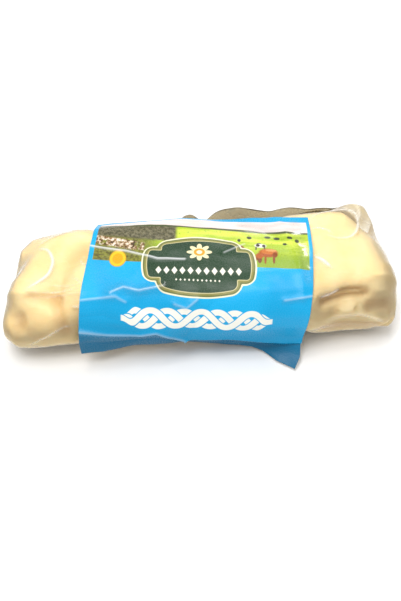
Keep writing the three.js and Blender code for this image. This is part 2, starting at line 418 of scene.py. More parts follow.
def mapPlaces(reach):
    # The skin's points in mm from the braid's middle, one for each place on the map.
    rings, sides = film["rings"], film["sides"]
    startX, lean = filmRay(np.arange(rings + 1) / rings)
    turn = 2 * math.pi * np.arange(sides) / sides
    places = rayDirection(lean[:, None], turn[None, :]) * reach[..., None]
    places[..., 0] += startX[:, None]
    return places


def foldSkin(reach):
    # Raises and dents the skin along each of the folds, and says how white it is painted there: partly the
    # doubled film, partly painted highlight.
    places = mapPlaces(reach).reshape(-1, 3)
    rise, white = np.zeros(len(places)), np.zeros(len(places))
    for points, height, width, whiten, whiteWidth in filmFolds:
        line = alongPolyline(points)
        out, i, j = aroundMiddle(line + middle)
        start = np.zeros_like(line)
        start[:, 0] = np.clip(line[:, 0], -film["coreHalf"], film["coreHalf"])
        line = start + (line - start) * (sampleMap(reach, i, j) / out)[:, None]
        away, share = nearestOn(line, places, 4 * width)
        fade = np.minimum(1, 4 * share * (1 - share) + 0.15)
        if height > 0:
            rise += height * fade * np.exp(-(away / width) ** 1.2)
        else:
            rise += height * np.exp(-(away / width) ** 2)
        white = np.maximum(white, whiten * fade * np.exp(-(away / whiteWidth) ** 2))
    return rise.reshape(reach.shape), white.reshape(reach.shape)


def drawOutCorners(obstacle):
    drawn = obstacle.copy()
    for points in filmCorners:
        out, i, j = aroundMiddle(alongPolyline(points, 0.35) + middle)
        i, j = np.clip(np.rint(i), 0, film["rings"]).astype(int), np.rint(j).astype(int) % film["sides"]
        np.maximum.at(drawn, (i, j), out)
    return drawn


def buildFilm(reach, white, material):
    rings, sides = film["rings"], film["sides"]
    bm = bmesh.new()
    bmesh.ops.create_uvsphere(bm, u_segments=sides, v_segments=rings, radius=1)
    unit = vertexArray(bm)
    polar = np.arccos(np.clip(-unit[:, 2], -1, 1)) / math.pi
    turn = np.arctan2(unit[:, 1], unit[:, 0])
    i = np.rint(polar * rings).astype(int)
    j = np.rint(turn / (2 * math.pi) * sides).astype(int) % sides
    startX, lean = filmRay(i / rings)
    direction = rayDirection(lean, 2 * math.pi * j / sides)
    out = reach[i, j]
    down = np.minimum(direction[:, 2], -1e-6)
    out = np.where(direction[:, 2] < 0, np.minimum(out, (middle[2] - 0.05) / -down), out)
    places = middle + direction * out[:, None]
    places[:, 0] += startX
    moveVertices(bm, places * mm)
    faceOutwards(bm)
    # The first layer holds the folds' painted white: partly the doubled film, partly painted highlight.
    layer, cloudy = bm.verts.layers.float.new("foldWhiteAndHighlight"), bm.verts.layers.float.new("cloud")
    centre, wide, strength = cloudyCorner
    away = np.linalg.norm(places - middle - centre, axis=1) / wide
    for vertex, value, cloud in zip(bm.verts, white[i, j], strength * np.exp(-away ** 3)):
        vertex[layer], vertex[cloudy] = value, cloud
    return objectFrom(bm, "pouchFilm", material)


# The bag's back seam, pushed up behind the label: height above the middle line along it.
seam = {
    "at": (-12, -8.5, -4.5, -1, 2, 5, 9, 14, 21, 28, 38, 51, 61, 69, 78, 84),
    "top": (5, 13, 15.6, 14, 8, 8, 13.5, 17, 19, 17, 13, 15.4, 15.4, 13, 10, 5),
    "foot": 2,
    "away": 30.5,
    "wave": 1.4,
    "thickness": 0.3,
    "columns": 190,
    "rows": 14,
}


def buildSeam(reach, material):
    bm = bmesh.new()
    bmesh.ops.create_grid(bm, x_segments=seam["columns"], y_segments=seam["rows"], size=0.5)
    flat = vertexArray(bm)
    x = seam["at"][0] + (flat[:, 0] + 0.5) * (seam["at"][-1] - seam["at"][0])
    high = flat[:, 1] + 0.5
    even = np.linspace(seam["at"][0], seam["at"][-1], 260)
    rounded = np.pad(np.interp(even, seam["at"], seam["top"]), 6, "edge")
    top = np.interp(x, even, np.convolve(rounded, np.ones(13) / 13, "valid"))
    z = seam["foot"] + (top - seam["foot"]) * high
    y = seam["away"] + 2.5 * high ** 2 + seam["wave"] * high * np.sin(x * 0.19 + 0.6 * np.sin(x * 0.11))
    out, i, j = aroundMiddle(np.stack([x, y, z], 1) + middle)
    inside = np.maximum(sampleMap(reach, i, j) - 1.2 + 1.6 * high - out, 0)
    y += inside * np.cos(np.arctan2(z, y))
    moveVertices(bm, (np.stack([x, y, z], 1) + middle) * mm)
    piece = objectFrom(bm, "pouchSeam", material)
    thick = piece.modifiers.new("Thickness", "SOLIDIFY")
    thick.thickness = seam["thickness"] * mm
    return piece


label = {
    "width": 106,
    "height": 92,
    "edgeAt": (0, 0.25, 0.5, 0.75, 0.93, 1),  # share of the height, from the far edge
    "leftEdge": (-50.0, -51.6, -53.6, -56.3, -57.8, -57.8),
    "rightEdge": (55.5, 54.5, 51.8, 48.8, 46.4, 43.5),
    "gap": 0.9,
    "thickness": 0.22,
    "creaseWidth": 0.42,  # half width of the pale line along sharp creases: partly stress whitening, partly painted highlight
    "span": 18,
    "turn": 8.6,
    "trimAt": (-0.5, -0.3, -0.1, 0.1, 0.5),
    "trim": (7.0, 4.5, 2.5, 2.0, 1.5),  # how much nearer the far edge is cut there
    "top": -29.5,
    "girthHalfWidth": 36,
    "girthHalfHeight": 20.5,
    "tuckAt": (-0.5, -0.4, -0.25, 0.0, 0.17, 0.31, 0.36, 0.42, 0.5),  # share of the width from the middle
    # How closely the lower edge hugs the pack there.
    "tuck": (0.0, 0.1, 0.75, 0.9, 0.72, 0.56, 0.42, 0.14, 0.0),
    "looseAt": (-0.5, -0.3, -0.1, 0.1, 0.3, 0.5),
    "loose": (0.4, 2.2, 2.8, 0.6, -0.8, -1.0),  # how far the far edge stands off the pack there
    "foldAt": (-0.5, 0.24, 0.34, 0.5),
    "foldHeight": (1.2, 1.2, 3.5, 8.0),  # where the hanging edge bends out towards the viewer
    "columns": 200,
    "rows": 170,
}


def girthTable():
    # The angle round the pack at each distance from its top, down the front.
    wide, high = label["girthHalfWidth"], label["girthHalfHeight"]
    turn = np.linspace(0, 1.4 * math.pi, 1001)
    speed = np.hypot(wide * np.sin(turn), high * np.cos(turn))
    girth = np.concatenate([[0], np.cumsum((speed[1:] + speed[:-1]) / 2 * np.diff(turn))])
    girth -= np.interp(math.pi / 2, turn, girth)
    angle = np.unwrap(np.arctan2(high * np.sin(turn), wide * np.cos(turn)))
    return girth, angle, np.interp(math.pi, turn, girth)


girthAt, angleAt, bellyGirth = girthTable()


def sampleSkin(reach, x, turn):
    cap = film["capShare"]
    share = cap + (np.clip(x / film["coreHalf"], -1, 1) + 1) / 2 * (1 - 2 * cap)
    return sampleMap(reach, share * film["rings"], turn / (2 * math.pi) * film["sides"])


def tightWrap(reach):
    # The stiff sheet's own skin: the widest section within its span along the pack, drawn tight round it.
    ringStep = 2 * film["coreHalf"] / (film["rings"] * (1 - 2 * film["capShare"]))
    span = round(label["span"] / ringStep)
    rows = np.concatenate([reach[:1]] * span + [reach] + [reach[-1:]] * span)
    widest = np.max([rows[k:k + len(reach)] for k in range(2 * span + 1)], 0)
    blurred = np.concatenate([widest[:1]] * span + [widest] + [widest[-1:]] * span)
    widest = np.mean([blurred[k:k + len(reach)] for k in range(2 * span + 1)], 0)
    turn = 2 * math.pi * np.arange(film["sides"]) / film["sides"]
    lean = np.cos(turn[:, None] - turn[None, :])
    wrapped = np.zeros_like(widest)
    for i, row in enumerate(widest):
        support = (row[None, :] * lean).max(1)
        wrapped[i] = np.where(lean > 0.2, support[None, :] / np.maximum(lean, 0.2), 1e3).min(1)
    return wrapped


def skinPlaces(reach, wrapped, x, angle):
    out = np.maximum(sampleSkin(wrapped, x, angle), sampleSkin(reach, x, angle)) + label["gap"]
    places = np.stack([x, np.cos(angle) * out, np.sin(angle) * out], -1) + middle * [0, 1, 1]
    places[:, 0] += middle[0]
    return places


def labelPlaces(reach, wrapped, across, down):
    left = np.interp(down, label["edgeAt"], label["leftEdge"])
    right = np.interp(down, label["edgeAt"], label["rightEdge"])
    x = left * (0.5 - across) + right * (0.5 + across)
    girth = label["top"] + down * label["height"] + x * math.sin(math.radians(label["turn"]))
    hanging = np.maximum(girth - bellyGirth, 0)
    hugging = skinPlaces(reach, wrapped, x, np.interp(girth, girthAt, angleAt))
    free = skinPlaces(reach, wrapped, x, np.interp(np.minimum(girth, bellyGirth), girthAt, angleAt))
    bend = np.interp(across, label["foldAt"], label["foldHeight"])
    drop = np.minimum(hanging, free[:, 2] - bend)
    folded = hanging - drop
    free[:, 2] = np.maximum(free[:, 2] - drop - 0.45 * folded, 0.6)
    free[:, 1] -= 0.89 * folded
    tuck = np.interp(across, label["tuckAt"], label["tuck"])[:, None]
    places = free * (1 - tuck) + hugging * tuck
    loose = np.interp(across, label["looseAt"], label["loose"]) * (1 - smoothStep(down, 0, 0.3))
    places[:, 2] += loose * 0.8
    places[:, 1] += loose * 0.3
    return places


# Creases: points as shares of the sheet's width and height, then rise and half width in mm, and whitening,
# which is partly stress whitening and partly painted highlight.
labelCreases = [
    ([(0.0, 0.33), (0.163, 0.344), (0.238, 0.367), (0.314, 0.39), (0.436, 0.378)], 0.75, 1.1, 0.75),
    ([(0.696, 0.243), (0.608, 0.315)], 0.5, 1.2, 0.35),
    ([(0.0, 0.668), (0.152, 0.631), (0.197, 0.651)], 1.7, 2.6, 0.25),
    ([(0.13, 0.613), (0.183, 0.58), (0.252, 0.587), (0.357, 0.55)], 1.4, 2.4, 0.3),
    ([(0.0, 0.84), (0.135, 0.848), (0.268, 0.845), (0.338, 0.822), (0.472, 0.891)], 2.3, 1.9, 0.3),
    ([(0.472, 0.891), (0.62, 0.86), (0.8, 0.872), (1.0, 0.84)], 1.5, 2.4, 0.0),
    ([(0.507, 0.602), (0.463, 0.656), (0.409, 0.639)], 1.1, 1.6, 0.25),
    ([(0.883, 0.562), (1.0, 0.525)], 0.7, 1.2, 0.3),
    ([(0.86, 0.05), (0.93, 0.3), (0.965, 0.55)], 0.8, 3.0, 0.0),
    ([(0.57, 0.62), (0.52, 0.74), (0.47, 0.87)], -1.6, 5.5, 0.0),
    ([(0.22, 0.66), (0.3, 0.7), (0.4, 0.68)], -1.6, 5.0, 0.0),
    ([(0.0, 0.76), (0.1, 0.74), (0.2, 0.77)], -1.2, 4.5, 0.0),
    ([(0.04, 0.92), (0.2, 0.93), (0.35, 0.9), (0.46, 0.95)], -1.6, 4.0, 0.0),
    ([(0.65, 0.93), (0.8, 0.94)], -1.2, 4.0, 0.0),
]
# The second ridge: below it the sheet is painted a deeper blue, which stands for its shaded underside.
deepBlueFrom = [(0.0, 0.84), (0.135, 0.848), (0.268, 0.845), (0.338, 0.822), (0.472, 0.891), (0.62, 0.86),
                (0.8, 0.872), (1.0, 0.84)]
# Where the glossy sheet is finely crumpled: points along it, half width in mm and strength.
crumpledPatches = [
    ([(0.11, 0.62), (0.17, 0.575), (0.24, 0.59), (0.3, 0.565), (0.37, 0.545)], 2.6, 1.0),
    ([(0.12, 0.6), (0.07, 0.52), (0.06, 0.45)], 4.2, 0.6),
    ([(0.93, 0.08), (0.955, 0.25), (0.98, 0.44)], 2.1, 1.8),
    ([(0.7, 0.11), (0.8, 0.13), (0.9, 0.13)], 4.0, 0.8),
    ([(0.33, 0.3), (0.42, 0.27), (0.5, 0.29)], 2.5, 0.35),
    ([(0.24, 0.28), (0.3, 0.22)], 4.0, 0.3),
    ([(0.88, 0.57), (0.96, 0.55)], 1.4, 0.5),
    ([(0.3, 0.835), (0.35, 0.83), (0.42, 0.86)], 1.0, 0.7),
    ([(0.41, 0.64), (0.46, 0.66), (0.5, 0.61)], 1.6, 0.4),
]


def distanceToPolyline(places, points):
    points = np.array(points, float)
    best = np.full(len(places), 1e9)
    for a, b in zip(points[:-1], points[1:]):
        along = np.clip((places - a) @ (b - a) / ((b - a) @ (b - a)), 0, 1)
        best = np.minimum(best, np.linalg.norm(places - a - along[:, None] * (b - a), axis=1))
    return best


def creaseLabel(across, down):
    size = np.array([label["width"], label["height"]])
    flat = np.stack([across + 0.5, down], 1) * size
    rise, white = np.zeros(len(flat)), np.zeros(len(flat))
    for points, height, width, whiten in labelCreases:
        away = distanceToPolyline(flat, np.array(points) * size)
        rise += height * np.exp(-away / width)
        white = np.maximum(white, whiten * np.exp(-(away / label["creaseWidth"]) ** 2))
    crumpled = np.zeros(len(flat))
    for points, width, strength in crumpledPatches:
        away = distanceToPolyline(flat, np.array(points) * size)
        crumpled = np.maximum(crumpled, strength * np.exp(-(away / width) ** 2))
    ripple = [noise.noise(Vector((x * 0.045, y * 0.09, 3.0))) for x, y in flat]
    fine = [noise.noise(Vector((x * 0.16, y * 0.22, 8.0))) for x, y in flat]
    return rise + np.array(ripple) * 0.9 + np.array(fine) * 0.16, white, crumpled


def buildLabel(reach, front, back):
    bm = bmesh.new()
    bmesh.ops.create_grid(bm, x_segments=label["columns"], y_segments=label["rows"], size=0.5)
    flat = vertexArray(bm)
    across, rim = flat[:, 0], 0.5 - flat[:, 1]
    trim = np.interp(across, label["trimAt"], label["trim"]) / label["height"]
    down = rim * (1 - trim) + trim
    sheet = bm.loops.layers.uv.new("sheet")
    bm.verts.index_update()
    for face in bm.faces:
        for loop in face.loops:
            loop[sheet].uv = (across[loop.vert.index] + 0.5, down[loop.vert.index])
    places = labelPlaces(reach, tightWrap(reach), across, down)
    rise, white, crumpled = creaseLabel(across, down)
    moveVertices(bm, places * mm)
    bm.normal_update()
    normals = np.array([v.normal for v in bm.verts])
    normals *= np.sign((normals @ np.array([0, -0.5, 1])).sum())
    rise = np.maximum(rise, 0) + np.minimum(rise, 0) * 0.7
    places = places + normals * rise[:, None]
    places[:, 2] = np.maximum(places[:, 2], 0.5)
    moveVertices(bm, places * mm)
    ridgeAt, ridgeDown = np.array(deepBlueFrom).T
    deep = smoothStep((down - np.interp(across + 0.5, ridgeAt, ridgeDown)) * label["height"], 0.2, 2.6)
    for name, values in (("creaseWhiteAndHighlight", white), ("crumpled", crumpled), ("rim", rim), ("deep", deep)):
        layer = bm.verts.layers.float.new(name)
        for vertex, value in zip(bm.verts, values):
            vertex[layer] = value
    piece = objectFrom(bm, "labelSheet", front, back)
    thick = piece.modifiers.new("Thickness", "SOLIDIFY")
    thick.thickness = label["thickness"] * mm
    thick.offset = 1
    thick.material_offset = 1
    thick.material_offset_rim = 1
    return piece


def cheeseMaterial():
    # Warm cream with faint pulled fibres, a little light passing through it, and painted shade in its dents.
    material, tree = newMaterial("freshStretchedCheese")
    coords = addNode(tree, "ShaderNodeTexCoord").outputs["Object"]
    mottle = addNode(tree, "ShaderNodeTexNoise", {
        "Vector": coords,
        "Scale": 1 / (18.18 * mm),  # mottle size
        "Detail": 3.0,
    }).outputs["Fac"]
    tone = addNode(tree, "ShaderNodeMix", {
        0: addNode(tree, "ShaderNodeMapRange", {
            "Value": mottle,
            "From Min": 0.3,
            "From Max": 0.7,
        }, interpolation_type="SMOOTHSTEP").outputs[0],
        6: "#f5e0ae",
        7: "#faeac4",
    }, data_type="RGBA").outputs[2]
    # Painted shade: the cream turns darker gold in the dents between strands.
    dent = addNode(tree, "ShaderNodeAttribute", attribute_name="dent").outputs["Fac"]
    tone = addNode(tree, "ShaderNodeMix", {
        0: addNode(tree, "ShaderNodeMath", {
            0: dent,
            1: 0.6,
        }, operation="MULTIPLY", use_clamp=True).outputs[0],
        6: tone,
        7: "#cfa965",
    }, data_type="RGBA").outputs[2]
    stretched = addNode(tree, "ShaderNodeMapping", {"Vector": coords, "Scale": (0.25, 1.0, 1.0)}).outputs[0]
    fibre = addNode(tree, "ShaderNodeTexNoise", {
        "Vector": stretched,
        "Scale": 1 / (1.111 * mm),  # fibre spacing
        "Detail": 2.0,
    }).outputs["Fac"]
    tone = addNode(tree, "ShaderNodeMix", {
        0: addNode(tree, "ShaderNodeMapRange", {
            "Value": fibre,
            "From Min": 0.55,
            "From Max": 0.75,
            "To Min": 0.0,
            "To Max": 0.25,
        }, interpolation_type="SMOOTHSTEP").outputs[0],
        6: tone,
        7: "#fff4d4",
    }, data_type="RGBA").outputs[2]
    bump = addNode(tree, "ShaderNodeBump", {"Height": fibre, "Strength": 0.25, "Distance": 0.0003})
    shader = addNode(tree, "ShaderNodeBsdfPrincipled", {
        "Base Color": tone,
        "Roughness": 0.42,
        "Normal": bump.outputs[0],
        "Subsurface Weight": 0.25,
        "Subsurface Radius": (1.0, 0.72, 0.42),
        "Subsurface Scale": 0.004,
    })
    addNode(tree, "ShaderNodeOutputMaterial", {"Surface": shader.outputs[0]})
    return material


def filmMaterial():
    # Clear glossy bag: it shows where light glances off it, and along its folds, which are painted white,
    # partly as doubled film and partly as painted highlight.
    material, tree = newMaterial("clearPouchFilm")
    coords = addNode(tree, "ShaderNodeTexCoord").outputs["Object"]
    wrinkle = addNode(tree, "ShaderNodeTexNoise", {
        "Vector": coords,
        "Scale": 1 / (6.25 * mm),  # wrinkle spacing
        "Detail": 3.0,
        "Roughness": 0.55,
    }).outputs["Fac"]
    smudge = addNode(tree, "ShaderNodeTexNoise", {
        "Vector": coords,
        "Scale": 1 / (22.22 * mm),  # smudge size
        "Detail": 3.0,
    }).outputs["Fac"]
    # Painted highlight along the folds, partly doubled film: it raises the share of the white glossy shader.
    foldWhiteAndHighlight = addNode(tree, "ShaderNodeAttribute", attribute_name="foldWhiteAndHighlight").outputs["Fac"]
    bump = addNode(tree, "ShaderNodeBump", {"Height": wrinkle, "Strength": 0.5, "Distance": 0.0009})
    cloud = addNode(tree, "ShaderNodeAttribute", attribute_name="cloud").outputs["Fac"]
    crumple = addNode(tree, "ShaderNodeMath", {
        0: cloud,
        1: addNode(tree, "ShaderNodeMapRange", {
            "Value": wrinkle,
            "From Min": 0.35,
            "From Max": 0.65,
            "To Min": 0.7,
            "To Max": 1.3,
        }, interpolation_type="SMOOTHSTEP").outputs[0],
    }, operation="MULTIPLY", use_clamp=True).outputs[0]
    clear = addNode(tree, "ShaderNodeBsdfTransparent", {
        "Color": addNode(tree, "ShaderNodeMix", {
            0: addNode(tree, "ShaderNodeMath", {
                0: crumple,
                1: 1.5,
            }, operation="MULTIPLY", use_clamp=True).outputs[0],
            6: "#fffdf6",
            7: "#e2d2a8",
        }, data_type="RGBA").outputs[2],
    })
    shine = addNode(tree, "ShaderNodeBsdfPrincipled", {
        "Base Color": addNode(tree, "ShaderNodeMix", {
            0: addNode(tree, "ShaderNodeMath", {
                0: crumple,
                1: 1.8,
            }, operation="MULTIPLY", use_clamp=True).outputs[0],
            6: "#fffaf0",
            7: "#e0cfa6",
        }, data_type="RGBA").outputs[2],
        "Roughness": addNode(tree, "ShaderNodeMapRange", {
            "Value": smudge,
            "From Min": 0.3,
            "From Max": 0.7,
            "To Min": 0.09,
            "To Max": 0.2,
        }, interpolation_type="SMOOTHSTEP").outputs[0],
        "Normal": bump.outputs[0],
    })
    edge = addNode(tree, "ShaderNodeFresnel", {"IOR": 1.5, "Normal": bump.outputs[0]})
    share = addNode(tree, "ShaderNodeMath", {
        0: edge.outputs[0],
        1: 1.1,
        2: 0.02,
    }, operation="MULTIPLY_ADD").outputs[0]
    share = addNode(tree, "ShaderNodeMath", {
        0: addNode(tree, "ShaderNodeMath", {0: share, 1: foldWhiteAndHighlight}, operation="ADD").outputs[0],
        1: crumple,
    }, operation="ADD", use_clamp=True).outputs[0]
    mixed = addNode(tree, "ShaderNodeMixShader", {0: share, 1: clear.outputs[0], 2: shine.outputs[0]})
    addNode(tree, "ShaderNodeOutputMaterial", {"Surface": mixed.outputs[0]})
    return material


def seamMaterial():
    # Doubled, sealed film: greyer and less clear than the bag's single skin.
    material, tree = newMaterial("sealedFilmSeam")
    coords = addNode(tree, "ShaderNodeTexCoord").outputs["Object"]
    cloud = addNode(tree, "ShaderNodeTexNoise", {
        "Vector": coords,
        "Scale": 1 / (11.11 * mm),  # clouding size
        "Detail": 3.0,
    }).outputs["Fac"]
    clear = addNode(tree, "ShaderNodeBsdfTransparent", {"Color": linearColour("#ddd5c0")})
    shine = addNode(tree, "ShaderNodeBsdfPrincipled", {
        "Base Color": addNode(tree, "ShaderNodeMix", {
            0: addNode(tree, "ShaderNodeMapRange", {
                "Value": cloud,
                "From Min": 0.3,
                "From Max": 0.7,
            }, interpolation_type="SMOOTHSTEP").outputs[0],
            6: "#aea68d",
            7: "#dacdad",
        }, data_type="RGBA").outputs[2],
        "Roughness": 0.18,
    })
    edge = addNode(tree, "ShaderNodeFresnel", {"IOR": 1.5})
    share = addNode(tree, "ShaderNodeMath", {
        0: edge.outputs[0],
        1: addNode(tree, "ShaderNodeMapRange", {
            "Value": cloud,
            "From Min": 0.3,
            "From Max": 0.7,
            "To Min": 0.18,
            "To Max": 0.42,
        }, interpolation_type="SMOOTHSTEP").outputs[0],
    }, operation="ADD", use_clamp=True).outputs[0]
    mixed = addNode(tree, "ShaderNodeMixShader", {0: share, 1: clear.outputs[0], 2: shine.outputs[0]})
    addNode(tree, "ShaderNodeOutputMaterial", {"Surface": mixed.outputs[0]})
    return material


# The print, in mm from the sheet's far left corner; its patterns are scaled per mm.
printLayout = {
    "blue": "#10a6dd",
    "border": (2.3, 104.4, 4.3),  # left, right and far edges of the landscape
    "landscapeEnd": (38.7, -2.6),  # its near edge at the left, and the change to the right
    "horizon": 13.1,
    "plaque": (53.0, 37.3, -3.7),
    "emblem": (52.7, 29.4),
    "badge": (14.3, 36.8, 4.1, 5.4),
    "title": (54.3, 66.2, -3.5, 35.0),
    "plaitPeriod": 23.4,
    "strandHalfWidths": (2.2, 1.65),  # with its blue outline, and without
}


def printMaterial():
    # Glossy printed film: a pasture strip over plain blue, a dark green plaque and a pale plait.
    material, tree = newMaterial("glossyPrintedFilm")
    sheet = addNode(tree, "ShaderNodeUVMap", uv_map="sheet").outputs[0]
    wide, high = label["width"], label["height"]
    spot = addNode(tree, "ShaderNodeVectorMath", {
        0: sheet,
        1: (wide, high, 1),
    }, operation="MULTIPLY").outputs[0]
    parts = addNode(tree, "ShaderNodeSeparateXYZ", {0: spot})
    x, y = parts.outputs[0], parts.outputs[1]

    def ellipse(cx, cy, rx, ry, degrees=0.0, soft=0.2):
        local = addNode(tree, "ShaderNodeMapping", {
            "Vector": spot,
            "Location": (cx, cy, 0),
            "Rotation": (0, 0, math.radians(degrees)),
            "Scale": (rx, ry, 1),
        }, vector_type="TEXTURE").outputs[0]
        away = addNode(tree, "ShaderNodeVectorMath", {0: local}, operation="LENGTH").outputs["Value"]
        return addNode(tree, "ShaderNodeMapRange", {
            "Value": away,
            "From Min": 1 - soft,
            "From Max": 1 + soft,
            "To Min": 1.0,
            "To Max": 0.0,
        }, interpolation_type="SMOOTHSTEP").outputs[0]

    def roundedBox(vector, hx, hy, radius):
        folded = addNode(tree, "ShaderNodeVectorMath", {0: vector}, operation="ABSOLUTE").outputs[0]
        past = addNode(tree, "ShaderNodeVectorMath", {0: folded, 1: (hx - radius, hy - radius, 0)},
                       operation="SUBTRACT").outputs[0]
        outer = addNode(tree, "ShaderNodeVectorMath", {0: past, 1: (0, 0, 0)}, operation="MAXIMUM").outputs[0]
        flatOuter = addNode(tree, "ShaderNodeVectorMath", {
            0: outer,
            1: (1, 1, 0),
        }, operation="MULTIPLY").outputs[0]
        length = addNode(tree, "ShaderNodeVectorMath", {0: flatOuter}, operation="LENGTH").outputs["Value"]
        split = addNode(tree, "ShaderNodeSeparateXYZ", {0: past})
        inner = addNode(tree, "ShaderNodeMath", {
            0: addNode(tree, "ShaderNodeMath", {
                0: split.outputs[0],
                1: split.outputs[1],
            }, operation="MAXIMUM").outputs[0],
            1: 0.0,
        }, operation="MINIMUM").outputs[0]
        return addNode(tree, "ShaderNodeMath", {
            0: addNode(tree, "ShaderNodeMath", {0: length, 1: inner}, operation="ADD").outputs[0],
            1: radius,
        }, operation="SUBTRACT").outputs[0]

    def area(*edges):
        # Where every edge holds: a value above or below a limit, with half the edge's soft width.
        inside = None
        for value, side, limit, soft in edges:
            ramp = addNode(tree, "ShaderNodeMapRange", {
                "Value": value,
                "From Min": limit - soft,
                "From Max": limit + soft,
                "To Min": 0.0 if side == "above" else 1.0,
                "To Max": 1.0 if side == "above" else 0.0,
            }, interpolation_type="SMOOTHSTEP").outputs[0]
            inside = ramp if inside is None else addNode(tree, "ShaderNodeMath", {
                0: inside,
                1: ramp,
            }, operation="MULTIPLY").outputs[0]
        return inside

    # Pasture: sky, a dark tree line at the left, bright fields at the right.
    tuft = addNode(tree, "ShaderNodeTexNoise", {
        "Vector": spot,
        "Scale": 1 / 1.818,  # grass tufts
        "Detail": 4.0,
        "Roughness": 0.65,
    }).outputs["Fac"]
    patch = addNode(tree, "ShaderNodeTexNoise", {
        "Vector": addNode(tree, "ShaderNodeMapping", {
            "Vector": spot,
            "Scale": (1 / 20, 1 / 3.57, 1),
        }).outputs[0],
        "Scale": 1.0,
        "Detail": 2.0,
    }).outputs["Fac"]
    green = addNode(tree, "ShaderNodeMix", {
        0: addNode(tree, "ShaderNodeMapRange", {
            "Value": patch,
            "From Min": 0.38,
            "From Max": 0.62,
        }, interpolation_type="SMOOTHSTEP").outputs[0],
        6: "#a9c42c",
        7: "#d3e24c",
    }, data_type="RGBA").outputs[2]
    green = addNode(tree, "ShaderNodeMix", {
        0: area((y, "above", 27.0, 6.0)),
        6: green,
        7: "#8cab2a",
    }, data_type="RGBA").outputs[2]
    green = addNode(tree, "ShaderNodeMix", {
        0: addNode(tree, "ShaderNodeMapRange", {
            "Value": tuft,
            "From Min": 0.56,
            "From Max": 0.72,
            "To Min": 0.0,
            "To Max": 0.6,
        }, interpolation_type="SMOOTHSTEP").outputs[0],
        6: green,
        7: "#5f7f1e",
    }, data_type="RGBA").outputs[2]
    brown = addNode(tree, "ShaderNodeMix", {
        0: addNode(tree, "ShaderNodeMapRange", {
            "Value": tuft,
            "From Min": 0.4,
            "From Max": 0.62,
        }, interpolation_type="SMOOTHSTEP").outputs[0],
        6: "#8a8a3c",
        7: "#5d5a2c",
    }, data_type="RGBA").outputs[2]
    ragged = addNode(tree, "ShaderNodeMath", {0: tuft, 1: 9.0, 2: x}, operation="MULTIPLY_ADD").outputs[0]
    leftward = area((ragged, "below", 34.0, 7.0))
    land = addNode(tree, "ShaderNodeMix", {0: leftward, 6: green, 7: brown}, data_type="RGBA").outputs[2]
    trees = addNode(tree, "ShaderNodeMix", {
        0: addNode(tree, "ShaderNodeMapRange", {
            "Value": tuft,
            "From Min": 0.4,
            "From Max": 0.6,
        }, interpolation_type="SMOOTHSTEP").outputs[0],
        6: "#4c4a33",
        7: "#7c765a",
    }, data_type="RGBA").outputs[2]
    treeEdge = addNode(tree, "ShaderNodeMath", {0: tuft, 1: 3.0, 2: y}, operation="MULTIPLY_ADD").outputs[0]
    treeMask = area((x, "below", 41.0, 1.2), (treeEdge, "below", 24.6, 1.0), (y, "above", 12.0, 0.3))
    land = addNode(tree, "ShaderNodeMix", {0: treeMask, 6: land, 7: trees}, data_type="RGBA").outputs[2]
    horizon = printLayout["horizon"]
    farLine = area((y, "above", horizon - 0.3, 0.15), (y, "below", horizon + 1.1, 0.4))
    land = addNode(tree, "ShaderNodeMix", {0: farLine, 6: land, 7: "#4f5a36"}, data_type="RGBA").outputs[2]
    skyTone = addNode(tree, "ShaderNodeMix", {
        0: addNode(tree, "ShaderNodeMapRange", {
            "Value": patch,
            "From Min": 0.35,
            "From Max": 0.65,
        }, interpolation_type="SMOOTHSTEP").outputs[0],
        6: "#e9d8d2",
        7: "#f4eae4",
    }, data_type="RGBA").outputs[2]
    hills = addNode(tree, "ShaderNodeMath", {0: patch, 1: 2.4, 2: y}, operation="MULTIPLY_ADD").outputs[0]
    land = addNode(tree, "ShaderNodeMix", {
        0: area((hills, "below", horizon + 1.0, 0.3)),
        6: land,
        7: skyTone,
    }, data_type="RGBA").outputs[2]
    herd = addNode(tree, "ShaderNodeTexNoise", {
        "Vector": spot,
        "Scale": 1 / 2.0,  # one sheep
        "Detail": 3.0,
        "Roughness": 0.6,
    }).outputs["Fac"]
    coats = addNode(tree, "ShaderNodeMix", {
        0: addNode(tree, "ShaderNodeMapRange", {
            "Value": herd,
            "From Min": 0.4,
            "From Max": 0.46,
        }, interpolation_type="SMOOTHSTEP").outputs[0],
        6: "#4a3a28",
        7: "#9a7850",
    }, data_type="RGBA").outputs[2]
    coats = addNode(tree, "ShaderNodeMix", {
        0: addNode(tree, "ShaderNodeMapRange", {
            "Value": herd,
            "From Min": 0.49,
            "From Max": 0.54,
        }, interpolation_type="SMOOTHSTEP").outputs[0],
        6: coats,
        7: "#dccab0",
    }, data_type="RGBA").outputs[2]
    coats = addNode(tree, "ShaderNodeMix", {
        0: addNode(tree, "ShaderNodeMapRange", {
            "Value": herd,
            "From Min": 0.6,
            "From Max": 0.66,
        }, interpolation_type="SMOOTHSTEP").outputs[0],
        6: coats,
        7: "#fbf6ec",
    }, data_type="RGBA").outputs[2]
    gaps = addNode(tree, "ShaderNodeTexNoise", {
        "Vector": addNode(tree, "ShaderNodeMapping", {
            "Vector": spot,
            "Scale": (1 / 3.125, 1 / 4.167, 1),
            "Location": (3, 7, 0),
        }).outputs[0],
        "Scale": 1.0,
        "Detail": 2.0,
    }).outputs["Fac"]
    herdLine = addNode(tree, "ShaderNodeMath", {0: x, 1: -0.13, 2: y}, operation="MULTIPLY_ADD").outputs[0]
    herdMask = area((herdLine, "above", 22.4, 0.5), (herdLine, "below", 27.8, 0.9), (x, "below", 26.2, 0.6))
    land = addNode(tree, "ShaderNodeMix", {
        0: addNode(tree, "ShaderNodeMath", {
            0: herdMask,
            1: addNode(tree, "ShaderNodeMapRange", {
                "Value": gaps,
                "From Min": 0.36,
                "From Max": 0.44,
            }, interpolation_type="SMOOTHSTEP").outputs[0],
        }, operation="MULTIPLY").outputs[0],
        6: land,
        7: coats,
    }, data_type="RGBA").outputs[2]
